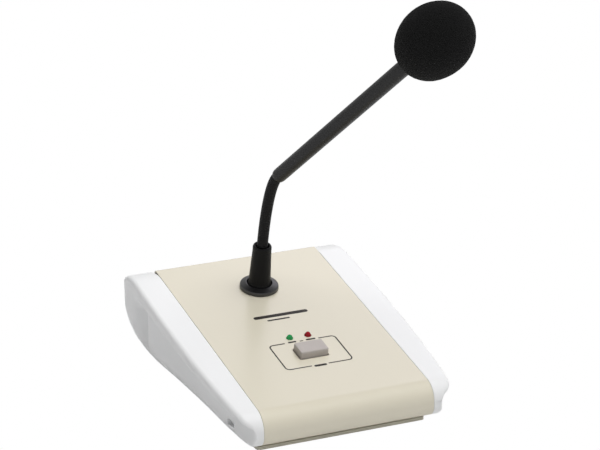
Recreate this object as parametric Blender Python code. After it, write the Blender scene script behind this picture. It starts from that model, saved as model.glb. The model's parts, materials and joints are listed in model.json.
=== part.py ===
"""Desktop paging microphone: wedge base, talk key, gooseneck and foam-covered head.

Units are metres, +Z is up, -Y is the front, +X is the right of a person facing the front.
The origin is on the desk, under the middle of the front foot strip.
"""
import math

import bpy
from mathutils import Matrix, Vector

# ---- wedge base ----
SLOPE = math.radians(10.7)       # tilt of the top panel
PANEL_LEN = 0.1662               # top panel, from the front bend to the back edge
BEND_Y = -0.0160                 # where the front bend starts
BEND_Z = 0.0298                  # height of that line above the desk
COVER_HALF = 0.0545              # half the width of the sheet cover
SHEET = 0.0010                   # sheet thickness
NOSE_R = 0.0120                  # upper front bend, outside radius
UNDER_R = 0.0072                 # lower front bend, outside radius
COVER_BASE = 0.0085              # underside of the cover's turned-in lips
HEEL_R = 0.0270                  # lower back bend, outside radius
LIP = 0.0160                     # depth of the turned-in lips
GAP = 0.0003                     # gap left between touching pieces
GLAND_Z = 0.0460                 # height of the cord inlet in the back wall

# ---- end caps ----
CAP_FACE = COVER_HALF + GAP      # where a cap meets the cover
CAP_WALL = 0.0024
BRIM_H = 0.0075                  # height of the overhanging brim
HEEL_Y = 0.1822                  # back of a cap, from the front bend
HEEL_TOP = 0.0330                # length and fall of the heel's upper curve
HEEL_FALL = 0.0262
HEEL_LOW = 0.0500                # length and rise of its lower curve
HEEL_RISE = 0.0305
SCOOP_L = 0.1285                 # front edge of the side scoop, from the front bend
SCOOP_LEN = 0.0260
SCOOP_DEPTH = 0.0085

# ---- bottom plate and feet ----
PLATE_Z = 0.0030
PLATE_T = 0.0020
PLATE_HALF = 0.0543
FOOT_W = 0.0680
FOOT_D = 0.0100
SCREW_R = 0.0015

# ---- controls ----
KEY_L = 0.0476                   # middle of the talk key, from the front bend
KEY_W = 0.0180
KEY_D = 0.0116
KEY_TOP = 0.0045
LED_L = 0.0660
LED_X = 0.0060
LED_R = 0.0015
BOARD_H = -0.0180                # top face of the circuit board under the panel
BOARD_T = 0.0016

# ---- gooseneck ----
NECK_L = 0.1264                  # middle of the mounting flange, from the front bend
FLANGE_R = 0.0122
SLEEVE_TOP = 0.0303              # top of the sleeve above the panel
FLEX_R = 0.0035
FLEX_BORE = 0.0012
TUBE_R = 0.0047
TUBE_LEN = 0.1320
HEAD_AT = 0.1570                 # middle of the windscreen along the tube's line
FOAM_R = 0.0215
FOAM_HALF = 0.0260
AIM = Vector((0.327, -0.666, 0.670)).normalized()     # line of the rigid tube
RISE = 0.0504                    # flexible part: rise along the sleeve's line
DRIFT = 0.0070                   # and sideways drift towards the tube's line
JOINT_GAPS = 6


def clear_scene():
    for ob in list(bpy.data.objects):
        bpy.data.objects.remove(ob, do_unlink=True)


def material(name, colour, rough, metal=0.0):
    mat = bpy.data.materials.get(name)
    if mat is None:
        mat = bpy.data.materials.new(name)
        mat.use_nodes = True
        node = mat.node_tree.nodes["Principled BSDF"]
        node.inputs["Base Color"].default_value = (colour[0], colour[1], colour[2], 1.0)
        node.inputs["Roughness"].default_value = rough
        node.inputs["Metallic"].default_value = metal
        mat.diffuse_color = (colour[0], colour[1], colour[2], 1.0)
    return mat


def add_object(name, verts, faces, mat, sharp=35.0):
    mesh = bpy.data.meshes.new(name)
    mesh.from_pydata([tuple(v) for v in verts], [], faces)
    mesh.update()
    ob = bpy.data.objects.new(name, mesh)
    bpy.context.scene.collection.objects.link(ob)
    if mat is not None:
        mesh.materials.append(mat)
        mesh.shade_smooth()
        mesh.set_sharp_from_angle(angle=math.radians(sharp))
    return ob


def place(ob, matrix, pivot=None):
    """Put a mesh built about the origin in its place, with its origin at the pivot."""
    ob.data.transform(matrix)
    if pivot is not None:
        ob.data.transform(Matrix.Translation(-pivot))
        ob.location = pivot
    return ob


def panel_matrix(x, along, height=0.0):
    """A frame on the top panel: X to the right, Y up the slope, Z square to the panel."""
    base = Matrix.Translation((0.0, BEND_Y, BEND_Z)) @ Matrix.Rotation(SLOPE, 4, "X")
    return base @ Matrix.Translation((x, along, height))


def frame_along(origin, direction):
    """A frame whose Z lies along the direction, with its X kept level across the base."""
    z = direction.normalized()
    x = Vector((1.0, 0.0, 0.0))
    x = (x - z * x.dot(z)).normalized()
    y = z.cross(x)
    turn = Matrix((x, y, z)).transposed().to_4x4()
    return Matrix.Translation(origin) @ turn


def lathe(name, profile, sides, mat, sharp=35.0):
    """Turn a profile of (radius, height) about Z.

    A profile that starts and ends on the axis is closed there; any other is a ring.
    """
    on_axis = profile[0][0] < 1e-9 and profile[-1][0] < 1e-9
    rows = profile[1:-1] if on_axis else profile
    verts = []
    for r, z in rows:
        for k in range(sides):
            a = 2.0 * math.pi * k / sides
            verts.append((r * math.cos(a), r * math.sin(a), z))
    faces = []
    count = len(rows)
    last = count - 1 if on_axis else count
    for i in range(last):
        j = (i + 1) % count
        for k in range(sides):
            m = (k + 1) % sides
            faces.append((i * sides + k, j * sides + k, j * sides + m, i * sides + m))
    if on_axis:
        first = len(verts)
        verts.append((0.0, 0.0, profile[0][1]))
        verts.append((0.0, 0.0, profile[-1][1]))
        for k in range(sides):
            m = (k + 1) % sides
            faces.append((first, k, m))
            faces.append((first + 1, (count - 1) * sides + m, (count - 1) * sides + k))
    ob = add_object(name, verts, faces, mat, sharp)
    face_outward(ob)
    return ob


def face_outward(ob):
    """Turn all faces over if the mesh's signed volume is negative."""
    volume = 0.0
    mesh = ob.data
    for poly in mesh.polygons:
        p = [mesh.vertices[i].co for i in poly.vertices]
        for k in range(1, len(p) - 1):
            volume += p[0].dot(p[k].cross(p[k + 1]))
    if volume < 0.0:
        mesh.flip_normals()


def stack(name, loops, mat, sharp=35.0):
    """Join rings with the same number of points into one closed solid."""
    count = len(loops[0])
    verts = [p for ring in loops for p in ring]
    faces = []
    for i in range(len(loops) - 1):
        for k in range(count):
            m = (k + 1) % count
            faces.append((i * count + k, i * count + m, (i + 1) * count + m, (i + 1) * count + k))
    faces.append(tuple(reversed(range(count))))
    top = (len(loops) - 1) * count
    faces.append(tuple(range(top, top + count)))
    ob = add_object(name, verts, faces, mat, sharp)
    face_outward(ob)
    return ob


def rounded_rect(w, d, r, z, corner=4):
    """A ring of points round a rectangle with rounded corners at one height."""
    ring = []
    for cx, cy, start in ((1, 1, 0), (-1, 1, 90), (-1, -1, 180), (1, -1, 270)):
        for k in range(corner + 1):
            a = math.radians(start + 90.0 * k / corner)
            ring.append((cx * (w / 2 - r) + r * math.cos(a), cy * (d / 2 - r) + r * math.sin(a), z))
    return ring


def block(name, w, d, z0, z1, r, mat, chamfer=0.0):
    """A block with rounded upright corners and a small chamfer at the top and bottom."""
    loops = []
    if chamfer > 0.0:
        loops.append(rounded_rect(w - 2 * chamfer, d - 2 * chamfer, max(r - chamfer, 1e-4), z0))
        loops.append(rounded_rect(w, d, r, z0 + chamfer))
        loops.append(rounded_rect(w, d, r, z1 - chamfer))
        loops.append(rounded_rect(w - 2 * chamfer, d - 2 * chamfer, max(r - chamfer, 1e-4), z1))
    else:
        loops.append(rounded_rect(w, d, r, z0))
        loops.append(rounded_rect(w, d, r, z1))
    return stack(name, loops, mat)


def cut(target, cutter, matrix=None, union=False):
    """Take a cutter out of the target, or join it on, as an exact modifier."""
    if matrix is not None:
        cutter.data.transform(matrix)
    cutter.hide_render = True
    cutter.display_type = "WIRE"
    mod = target.modifiers.new(cutter.name, "BOOLEAN")
    mod.operation = "UNION" if union else "DIFFERENCE"
    mod.solver = "EXACT"
    mod.object = cutter


def hex_nut(name, bore, apothem, z0, z1, mat):
    """A six-sided nut with a round bore and chamfered corners."""
    edge = 0.0004
    profile = [(bore, z0), (apothem * 0.97, z0), (apothem, z0 + edge), (apothem, z1 - edge),
               (apothem * 0.97, z1), (bore, z1)]
    ob = lathe(name, profile, 24, mat, 20.0)
    for vert in ob.data.vertices:
        r = math.hypot(vert.co.x, vert.co.y)
        if r > apothem * 0.99:
            a = math.degrees(math.atan2(vert.co.y, vert.co.x)) % 60.0
            grow = 1.0 / math.cos(math.radians(a - 30.0))
            vert.co.x *= grow
            vert.co.y *= grow
    return ob


def rod(name, r, z0, z1, sides=20):
    return lathe(name, [(0.0, z0), (r, z0), (r, z1), (0.0, z1)], sides, None)


def arc(cy, cz, r, a0, a1, steps):
    """Points on an arc in the side view, angles in degrees from +Y towards +Z."""
    r = max(r, 0.0003)
    points = []
    for k in range(steps + 1):
        a = math.radians(a0 + (a1 - a0) * k / steps)
        points.append((cy + r * math.cos(a), cz + r * math.sin(a)))
    return points


def cover_path(inset, lip_inset=0.0):
    """Side view of the sheet cover, front lip to back lip, moved inwards by the inset."""
    slope_deg = math.degrees(SLOPE)
    back_r = 0.0028
    top_c = (BEND_Y + NOSE_R * math.sin(SLOPE), BEND_Z - NOSE_R * math.cos(SLOPE))
    low_c = (top_c[0] - NOSE_R + UNDER_R, COVER_BASE + UNDER_R)
    back_y = BEND_Y + PANEL_LEN * math.cos(SLOPE)
    back_z = BEND_Z + PANEL_LEN * math.sin(SLOPE)
    up_c = (back_y - back_r, back_z - back_r * math.tan(SLOPE) - back_r / math.cos(SLOPE))
    foot_c = (back_y - HEEL_R, COVER_BASE + HEEL_R)
    path = [(low_c[0] + LIP + 0.004 - lip_inset, COVER_BASE + inset)]
    path += arc(low_c[0], low_c[1], UNDER_R - inset, 270.0, 180.0, 7)
    path += arc(top_c[0], top_c[1], NOSE_R - inset, 180.0, 90.0 + slope_deg, 8)
    path += arc(up_c[0], up_c[1], back_r - inset, 90.0 + slope_deg, 0.0, 4)
    path += arc(foot_c[0], foot_c[1], HEEL_R - inset, 0.0, -90.0, 8)
    path.append((back_y - HEEL_R - LIP + lip_inset, COVER_BASE + inset))
    return path


def make_cover():
    """Folded sheet-metal cover: top panel, front nose, back wall and turned-in lips."""
    outer = cover_path(0.0)
    inner = cover_path(SHEET)
    loop = outer + list(reversed(inner))
    rings = []
    for x in (-COVER_HALF, COVER_HALF):
        rings.append([(x, y, z) for y, z in loop])
    cover = stack("cover_panel", rings, material("cover_paint", (0.68, 0.62, 0.52), 0.42))
    key_hole = block("cut_key", KEY_W + 0.0008, KEY_D + 0.0008, -0.004, 0.004, 0.0012, None)
    cut(cover, key_hole, panel_matrix(0.0, KEY_L))
    for side, x in (("a", -LED_X), ("b", LED_X)):
        cut(cover, rod("cut_led_" + side, 0.0022 + GAP, -0.004, 0.004), panel_matrix(x, LED_L))
    cut(cover, rod("cut_neck", 0.0053, -0.004, 0.004, 24), panel_matrix(0.0, NECK_L))
    gland = Matrix.Translation((0.0, gland_y(), GLAND_Z)) @ Matrix.Rotation(math.pi / 2, 4, "X")
    cut(cover, rod("cut_gland", 0.0063, -0.004, 0.004, 24), gland)
    for k, (x, y) in enumerate(screw_places()):
        bore = rod("cut_lip_%d" % k, SCREW_R + GAP, -0.001, 0.014, 12)
        cut(cover, bore, Matrix.Translation((x, y, 0.0)))
    return cover


def gland_y():
    return BEND_Y + PANEL_LEN * math.cos(SLOPE)


def screw_places():
    front = BEND_Y + 0.0100
    back = gland_y() - HEEL_R - 0.0070
    return [(sx * 0.0400, y) for sx in (-1, 1) for y in (front, back)]


def make_plate():
    """Bottom plate with four raised pads under the cover's lips, and its screws."""
    front = BEND_Y + 0.0015
    back = gland_y() - HEEL_R + 0.0020
    steel = material("plate_paint", (0.60, 0.56, 0.47), 0.45)
    top = PLATE_Z + PLATE_T
    plate = block("bottom_plate", 2 * PLATE_HALF, back - front, PLATE_Z, top, 0.0020, steel)
    place(plate, Matrix.Translation((0.0, (front + back) / 2, 0.0)))
    pad_top = COVER_BASE - GAP
    for k, (x, y) in enumerate(screw_places()):
        pad = rod("pad_%d" % k, 0.0045, PLATE_Z + 0.0005, pad_top, 16)
        cut(plate, pad, Matrix.Translation((x, y, 0.0)), union=True)
        bore = rod("cut_plate_%d" % k, SCREW_R + GAP, 0.0, 0.012, 12)
        cut(plate, bore, Matrix.Translation((x, y, 0.0)))
    metal = material("screw_steel", (0.45, 0.45, 0.46), 0.35, 1.0)
    tip = COVER_BASE + 0.0045
    head = PLATE_Z - GAP
    for k, (x, y) in enumerate(screw_places()):
        profile = [(0.0, head - 0.0009), (0.0011, head - 0.0009), (0.0013, head - 0.0017),
                   (0.0022, head - 0.0017), (0.0030, head - 0.0010), (0.0030, head),
                   (SCREW_R, head), (SCREW_R, tip), (0.0, tip + 0.0008)]
        place(lathe("plate_screw_%d" % (k + 1), profile, 16, metal), Matrix.Translation((x, y, 0.0)))
    rubber = material("foot_rubber", (0.03, 0.03, 0.03), 0.9)
    for name, y in (("front_foot_strip", 0.0), ("rear_foot_strip", back - 0.0230)):
        strip = block(name, FOOT_W, FOOT_D, 0.0, PLATE_Z - GAP, 0.0030, rubber, 0.0005)
        place(strip, Matrix.Translation((0.0, y, 0.0)))
    lead = material("ballast_steel", (0.30, 0.30, 0.31), 0.55, 1.0)
    slab = block("ballast_weight", 0.0820, 0.0700, top + GAP, top + 0.0102, 0.003, lead, 0.0006)
    place(slab, Matrix.Translation((0.0, BEND_Y + 0.0840, 0.0)))


def read_table(table, value):
    """Straight-line reading of a table of (place, value) pairs."""
    if value <= table[0][0]:
        return table[0][1]
    for (a, fa), (b, fb) in zip(table, table[1:]):
        if value <= b:
            t = (value - a) / (b - a)
            return fa + (fb - fa) * t
    return table[-1][1]


# outline of a cap's brim in plan: (distance from the front bend, half width)
BRIM = ((-0.0098, 0.0596), (-0.0094, 0.0605), (-0.0085, 0.0618), (-0.0076, 0.0638), (-0.0064, 0.0656),
        (-0.0045, 0.0671), (-0.0020, 0.0680), (0.0030, 0.0687), (0.0160, 0.0700), (0.0440, 0.0719),
        (0.0720, 0.0730), (0.1000, 0.0734), (0.1300, 0.0733), (0.1500, 0.0730), (0.1590, 0.0728),
        (0.1650, 0.0726), (0.1700, 0.0721), (0.1748, 0.0708), (0.1784, 0.0684), (0.1806, 0.0653),
        (0.1819, 0.0620), (0.1822, 0.0592))
# half width of the side wall under the brim
WALL = ((-0.0098, 0.0592), (-0.0090, 0.0602), (-0.0070, 0.0612), (0.0000, 0.0626), (0.0160, 0.0649),
        (0.0400, 0.0679), (0.0720, 0.0703), (0.1000, 0.0718), (0.1250, 0.0725), (0.1450, 0.0727))
# reach of the rounded corner between the side wall and the underside
HULL = ((-0.0100, 0.0030), (0.0000, 0.0035), (0.0160, 0.0062), (0.0400, 0.0115), (0.0720, 0.0160),
        (0.1000, 0.0170), (0.1822, 0.0170))


def side_wall(y):
    edge = read_table(BRIM, y)
    if y > WALL[-1][0]:
        return edge - 0.0002
    return min(read_table(WALL, y), edge - 0.0002)


def cap_top(y):
    """Height of a cap's top line at a distance from the front bend."""
    cy = NOSE_R * math.sin(SLOPE)
    cz = BEND_Z - NOSE_R * math.cos(SLOPE)
    if y < 0.0:
        return cz + math.sqrt(max(NOSE_R ** 2 - (y - cy) ** 2, 0.0))
    line = BEND_Z + y * math.tan(SLOPE)
    start = HEEL_Y - HEEL_TOP
    if y <= start:
        return line
    t = (y - start) / (HEEL_Y - start)
    return line - HEEL_FALL * (1.0 - math.sqrt(max(1.0 - t * t, 0.0)))


def cap_bottom(y):
    """Height of a cap's underside at a distance from the front bend."""
    cy = NOSE_R * math.sin(SLOPE) - NOSE_R + UNDER_R
    cz = COVER_BASE + UNDER_R
    if y < cy:
        return cz - math.sqrt(max(UNDER_R ** 2 - (y - cy) ** 2, 0.0))
    start = HEEL_Y - HEEL_LOW
    if y <= start:
        return COVER_BASE
    t = (y - start) / (HEEL_Y - start)
    return COVER_BASE + HEEL_RISE * (1.0 - math.sqrt(max(1.0 - t * t, 0.0)))


def cap_stations():
    front = -NOSE_R + NOSE_R * math.sin(SLOPE)
    places = [front + step for step in (0.00003, 0.0002, 0.0006, 0.0013, 0.0024, 0.0040)]
    places += [-0.0045, -0.0020, 0.0030, 0.0160, 0.0400, 0.0720, 0.1000]
    places += [0.1250, 0.1365, 0.1450, 0.1520, 0.1575, 0.1620, 0.1665, 0.1700, 0.1730, 0.1755, 0.1774]
    places += [0.1787, 0.1800, 0.1811, 0.1818, HEEL_Y - 0.00003]
    return places


def cap_section(y):
    """Outer section of a cap across the base, from the top inner edge round to the bottom inner edge."""
    top = cap_top(y)
    low = cap_bottom(y)
    tall = max(top - low, 0.0002)
    edge = read_table(BRIM, y)
    wall = side_wall(y)
    grow = min(1.0, tall / 0.0200)
    brim = BRIM_H * grow
    r = 0.0026 * grow
    points = [(CAP_FACE, top), (CAP_FACE + (edge - r - CAP_FACE) * 0.55, top), (edge - r, top)]
    for k in range(1, 4):
        a = math.radians(30.0 * k)
        points.append((edge - r + r * math.sin(a), top - r + r * math.cos(a)))
    over = edge - wall
    points.append((edge - over * 0.04, top - 0.70 * brim))
    points.append((edge - over * 0.18, top - 0.88 * brim))
    points.append((edge - over * 0.50, top - 0.98 * brim))
    points.append((wall, top - brim * 1.06))
    reach = read_table(HULL, y)
    hull_z = min(reach * grow, 0.55 * tall)
    hull_x = min(reach, wall - CAP_FACE - 0.0006)
    upper = top - brim * 1.06
    bend = low + hull_z
    points.append((wall, upper + (bend - upper) * 0.50))
    for k in range(0, 6):
        a = math.radians(18.0 * k)
        points.append((wall - hull_x * (1.0 - math.cos(a)), low + hull_z * (1.0 - math.sin(a))))
    points.append((CAP_FACE, low))
    return points


def cavity_section(y):
    """Section of the hollow inside a cap; it keeps a wall behind the scoop."""
    top = cap_top(y) - CAP_WALL
    low = cap_bottom(y) + CAP_WALL
    wall = side_wall(y) - CAP_WALL
    back = SCOOP_L + SCOOP_LEN
    if SCOOP_L - CAP_WALL - 1e-6 <= y <= back:
        wall -= SCOOP_DEPTH * min(1.0, (back - y) / SCOOP_LEN)
    tall = top - low
    reach = read_table(HULL, y)
    r = min(reach, 0.5 * tall)
    reach = min(reach, wall - CAP_FACE + 0.0010)
    points = [(CAP_FACE - 0.002, top), (wall - 0.0015, top), (wall, top - min(0.0050, 0.25 * tall))]
    for k in range(0, 4):
        a = math.radians(30.0 * k)
        points.append((wall - reach * (1.0 - math.cos(a)), low + r * (1.0 - math.sin(a))))
    points.append((CAP_FACE - 0.002, low))
    return points


def make_cap(name, side):
    """End cap: a thin moulded shell with a brim, a rounded heel and a scoop in its side."""
    mat = material("cap_plastic", (0.86, 0.86, 0.85), 0.30)
    rings = []
    for y in cap_stations():
        rings.append([(side * x, BEND_Y + y, z) for x, z in cap_section(y)])
    cap = stack(name, rings, mat, 38.0)
    hollow = []
    places = [-0.0068, -0.0055, -0.0030, 0.0, 0.0160, 0.0400, 0.0720, 0.1000, 0.1256, 0.1261, 0.1340]
    places += [0.1420, 0.1480, 0.1545, 0.1600, 0.1650, 0.1690, 0.1725, 0.1752]
    for y in places:
        hollow.append([(side * x, BEND_Y + y, z) for x, z in cavity_section(y)])
    cut(cap, stack("cut_hollow_" + name, hollow, None))
    floor = side_wall(SCOOP_L)
    plan = [(0.080, SCOOP_L), (floor - SCOOP_DEPTH, SCOOP_L)]
    for k in range(1, 7):
        t = k / 6.0
        plan.append((floor - SCOOP_DEPTH * (1.0 - t) ** 1.15 + 0.0004 * t, SCOOP_L + SCOOP_LEN * t))
    plan.append((0.080, SCOOP_L + SCOOP_LEN))
    low = [(side * x, BEND_Y + y, -0.002) for x, y in plan]
    high = [(side * x, BEND_Y + y, BEND_Z + 0.0155) for x, y in plan]
    cut(cap, stack("cut_scoop_" + name, [low, high], None))
    pocket = block("cut_pocket_" + name, 0.0036, 0.0078, -0.0016, 0.0016, 0.0008, None)
    turn = Matrix.Rotation(side * math.pi / 2, 4, "Y")
    spot = Vector((side * side_wall(0.0160), BEND_Y + 0.0160, BEND_Z - 0.0132))
    cut(cap, pocket, Matrix.Translation(spot) @ turn)
    tenon_outer = cover_path(SHEET + 0.0004, 0.004)
    tenon_inner = cover_path(SHEET + 0.0020, 0.004)
    loop = tenon_outer + list(reversed(tenon_inner))
    rings = []
    for x in (CAP_FACE - 0.0035, CAP_FACE + 0.0010):
        rings.append([(side * x, y, z) for y, z in loop])
    cut(cap, stack("tenon_" + name, rings, None), union=True)
    return cap


def make_controls():
    """Talk key, its spring, stem and switch, the lamps, and the board that carries them."""
    key_at = panel_matrix(0.0, KEY_L)
    pivot = key_at @ Vector((0.0, 0.0, 0.0))
    grey = material("key_plastic", (0.50, 0.47, 0.44), 0.45)
    loops = [rounded_rect(KEY_W + 0.0030, KEY_D + 0.0030, 0.0012, -0.0024),
             rounded_rect(KEY_W + 0.0030, KEY_D + 0.0030, 0.0012, -SHEET - GAP - 0.0001),
             rounded_rect(KEY_W, KEY_D, 0.0012, -SHEET - GAP),
             rounded_rect(KEY_W, KEY_D, 0.0012, 0.0006),
             rounded_rect(KEY_W - 0.0005, KEY_D - 0.0005, 0.0011, KEY_TOP - 0.0006),
             rounded_rect(KEY_W - 0.0009, KEY_D - 0.0009, 0.0010, KEY_TOP - 0.0002),
             rounded_rect(KEY_W - 0.0018, KEY_D - 0.0018, 0.0008, KEY_TOP)]
    key = stack("talk_key", loops, grey)
    cut(key, rod("cut_key_socket", 0.0019, -0.0100, -0.0004, 20), key_at)
    place(key, key_at, pivot)
    key.modifiers[0].object.matrix_world = Matrix.Identity(4)
    white = material("stem_plastic", (0.80, 0.80, 0.78), 0.4)
    stem_profile = [(0.0, -0.0132), (0.0012, -0.0132), (0.0016, -0.0128), (0.0016, -0.0008),
                    (0.0, -0.0008)]
    place(lathe("switch_stem", stem_profile, 16, white), key_at, pivot)
    dark = material("switch_plastic", (0.05, 0.05, 0.055), 0.5)
    top = -0.0100
    housing = block("switch_housing", 0.0120, 0.0120, BOARD_H + GAP, top, 0.0008, dark, 0.0004)
    cut(housing, rod("cut_switch", 0.0020, -0.0158, top + 0.002, 20))
    place(housing, key_at)
    housing.modifiers[0].object.data.transform(key_at)
    make_spring("key_spring", key_at, pivot, -0.0097, -0.0028)
    green = material("board_laminate", (0.05, 0.22, 0.10), 0.5)
    board = block("circuit_board", 0.0620, 0.0460, BOARD_H - BOARD_T, BOARD_H, 0.0015, green)
    for k, (x, y) in enumerate(pillar_places()):
        cut(board, rod("cut_board_%d" % k, 0.0016, -0.03, 0.0, 16), Matrix.Translation((x, y, 0.0)))
    place(board, panel_matrix(0.0, 0.0585))
    for mod in board.modifiers:
        mod.object.data.transform(panel_matrix(0.0, 0.0585))
    brass = material("pillar_brass", (0.70, 0.55, 0.25), 0.35, 1.0)
    for k, (x, y) in enumerate(pillar_places()):
        low = BOARD_H - BOARD_T - 0.0016
        profile = [(0.0, low), (0.0010, low), (0.0013, low + 0.0003), (0.0013, BOARD_H + GAP),
                   (0.0027, BOARD_H + GAP), (0.0027, -SHEET - GAP), (0.0, -SHEET - GAP)]
        place(lathe("board_pillar_%d" % (k + 1), profile, 12, brass), panel_matrix(x, y + 0.0585))
    lamps = (("green", -LED_X, (0.02, 0.30, 0.08)), ("red", LED_X, (0.55, 0.02, 0.02)))
    for colour, x, rgb in lamps:
        at = panel_matrix(x, LED_L)
        lens = material("lens_" + colour, rgb, 0.15)
        profile = [(0.0, -0.0040), (0.0019, -0.0040), (0.0019, -0.0031), (LED_R, -0.0031),
                   (LED_R, 0.0006)]
        for k in range(1, 5):
            a = math.radians(22.5 * k)
            profile.append((LED_R * math.cos(a), 0.0006 + LED_R * math.sin(a)))
        profile[-1] = (0.0, 0.0006 + LED_R)
        place(lathe("led_" + colour, profile, 20, lens), at)
        ring = [(LED_R + GAP, -0.0027), (0.0022, -0.0027), (0.0022, GAP), (0.0028, GAP),
                (0.0027, 0.0007), (0.0020, 0.0009), (LED_R + GAP, 0.0006)]
        bezel = material("bezel_plastic", (0.04, 0.04, 0.045), 0.4)
        place(lathe("led_bezel_" + colour, ring, 20, bezel), at)
        leg = [(0.0005, BOARD_H + GAP), (0.0019, BOARD_H + GAP), (0.0019, -0.0040 - GAP),
               (0.0005, -0.0040 - GAP)]
        place(lathe("led_spacer_" + colour, leg, 16, white), at)


def pillar_places():
    return [(sx * 0.0270, sy * 0.0190) for sx in (-1, 1) for sy in (-1, 1)]


def make_spring(name, matrix, pivot, z0, z1):
    """Coil spring round the stem: one wire swept along a helix."""
    turns = 3.0
    steps = 30
    wire = 0.00028
    radius = 0.00285
    sides = 5
    verts = []
    for i in range(steps + 1):
        t = i / steps
        a = 2.0 * math.pi * turns * t
        rise = z0 + wire + (z1 - z0 - 2 * wire) * t
        centre = Vector((radius * math.cos(a), radius * math.sin(a), rise))
        out = Vector((math.cos(a), math.sin(a), 0.0))
        for k in range(sides):
            b = 2.0 * math.pi * k / sides
            verts.append(centre + out * (wire * math.cos(b)) + Vector((0.0, 0.0, wire * math.sin(b))))
    faces = []
    for i in range(steps):
        for k in range(sides):
            m = (k + 1) % sides
            faces.append((i * sides + k, i * sides + m, (i + 1) * sides + m, (i + 1) * sides + k))
    faces.append(tuple(reversed(range(sides))))
    faces.append(tuple(range(steps * sides, (steps + 1) * sides)))
    ob = add_object(name, verts, faces, material("spring_steel", (0.6, 0.6, 0.6), 0.3, 1.0))
    face_outward(ob)
    return place(ob, matrix, pivot)


def make_mount():
    """Flange, tapered sleeve with a threaded tail, washer and nut that fix the gooseneck."""
    at = panel_matrix(0.0, NECK_L)
    black = material("neck_black", (0.02, 0.02, 0.022), 0.38)
    r = FLANGE_R
    flange = [(0.0058, GAP), (r - 0.0003, GAP), (r, 0.0006), (r - 0.0001, 0.0020), (r - 0.0003, 0.0025),
              (r - 0.0008, 0.0028), (0.0086, 0.0038), (0.0081, 0.0038), (0.0079, 0.0036),
              (0.0079, 0.0018), (0.0058, 0.0018)]
    place(lathe("mic_flange", flange, 36, black, 30.0), at)
    foot = 0.0018 + GAP
    top = SLEEVE_TOP
    hole = FLEX_R + GAP
    sleeve = [(0.0026, -0.0130), (0.0046, -0.0130), (0.0050, -0.0126), (0.0050, foot),
              (0.0074, foot), (0.0074, 0.0032),
              (0.0071, 0.0042), (0.0069, 0.0052), (0.0059, top - 0.0036), (0.0058, top - 0.0033),
              (0.0059, top - 0.0030), (0.0059, top - 0.0012), (0.0054, top - 0.0003), (0.0048, top),
              (hole, top - 0.0004), (hole, 0.0060), (0.0026, 0.0060)]
    satin = material("sleeve_black", (0.02, 0.02, 0.022), 0.33)
    place(lathe("mic_sleeve", sleeve, 24, satin, 30.0), at)
    steel = material("nut_steel", (0.55, 0.55, 0.56), 0.3, 1.0)
    washer = [(0.0053, -SHEET - GAP - 0.0010), (0.0092, -SHEET - GAP - 0.0010), (0.0092, -SHEET - GAP),
              (0.0053, -SHEET - GAP)]
    place(lathe("mount_washer", washer, 28, steel), at)
    nut_top = -SHEET - 2 * GAP - 0.0010
    place(hex_nut("mount_nut", 0.0053, 0.0075, nut_top - 0.0045, nut_top, steel), at)


def neck_curve():
    """Bezier points of the flexible part, from inside the sleeve to the rigid tube."""
    base = panel_matrix(0.0, NECK_L)
    start = base @ Vector((0.0, 0.0, SLEEVE_TOP))
    up = (base.to_3x3() @ Vector((0.0, 0.0, 1.0))).normalized()
    side = (AIM - up * AIM.dot(up)).normalized()
    end = start + up * RISE + side * DRIFT
    return (start, start + up * 0.0070, end - AIM * 0.0102, end), up


def on_curve(points, t):
    a, b, c, d = points
    s = 1.0 - t
    place_at = a * s ** 3 + b * (3 * s * s * t) + c * (3 * s * t * t) + d * t ** 3
    slope = (b - a) * (3 * s * s) + (c - b) * (6 * s * t) + (d - c) * (3 * t * t)
    return place_at, slope.normalized()


def curve_place(points, distance):
    """Place and direction at a distance along the curve."""
    steps = 400
    run = 0.0
    last, direction = on_curve(points, 0.0)
    for k in range(1, steps + 1):
        here, heading = on_curve(points, k / steps)
        piece = (here - last).length
        if run + piece >= distance:
            return here, heading
        run += piece
        last = here
        direction = heading
    return last, direction


def curve_length(points):
    steps = 400
    total = 0.0
    last, _ = on_curve(points, 0.0)
    for k in range(1, steps + 1):
        here, _ = on_curve(points, k / steps)
        total += (here - last).length
        last = here
    return total


def neck_joints():
    """Centres of the joints of the flexible part, and the local directions there."""
    points, _ = neck_curve()
    total = curve_length(points)
    joints = []
    for k in range(JOINT_GAPS - 1):
        reach = 0.0022 + (total - 0.0066) * k / (JOINT_GAPS - 1)
        joints.append(curve_place(points, reach))
    joints.append((points[3] - AIM * 0.0044, AIM))
    return joints


BALL = 0.0026                    # ball at the lower end of a neck link
CUP = BALL + GAP                 # cup at the upper end of the link below it


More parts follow.
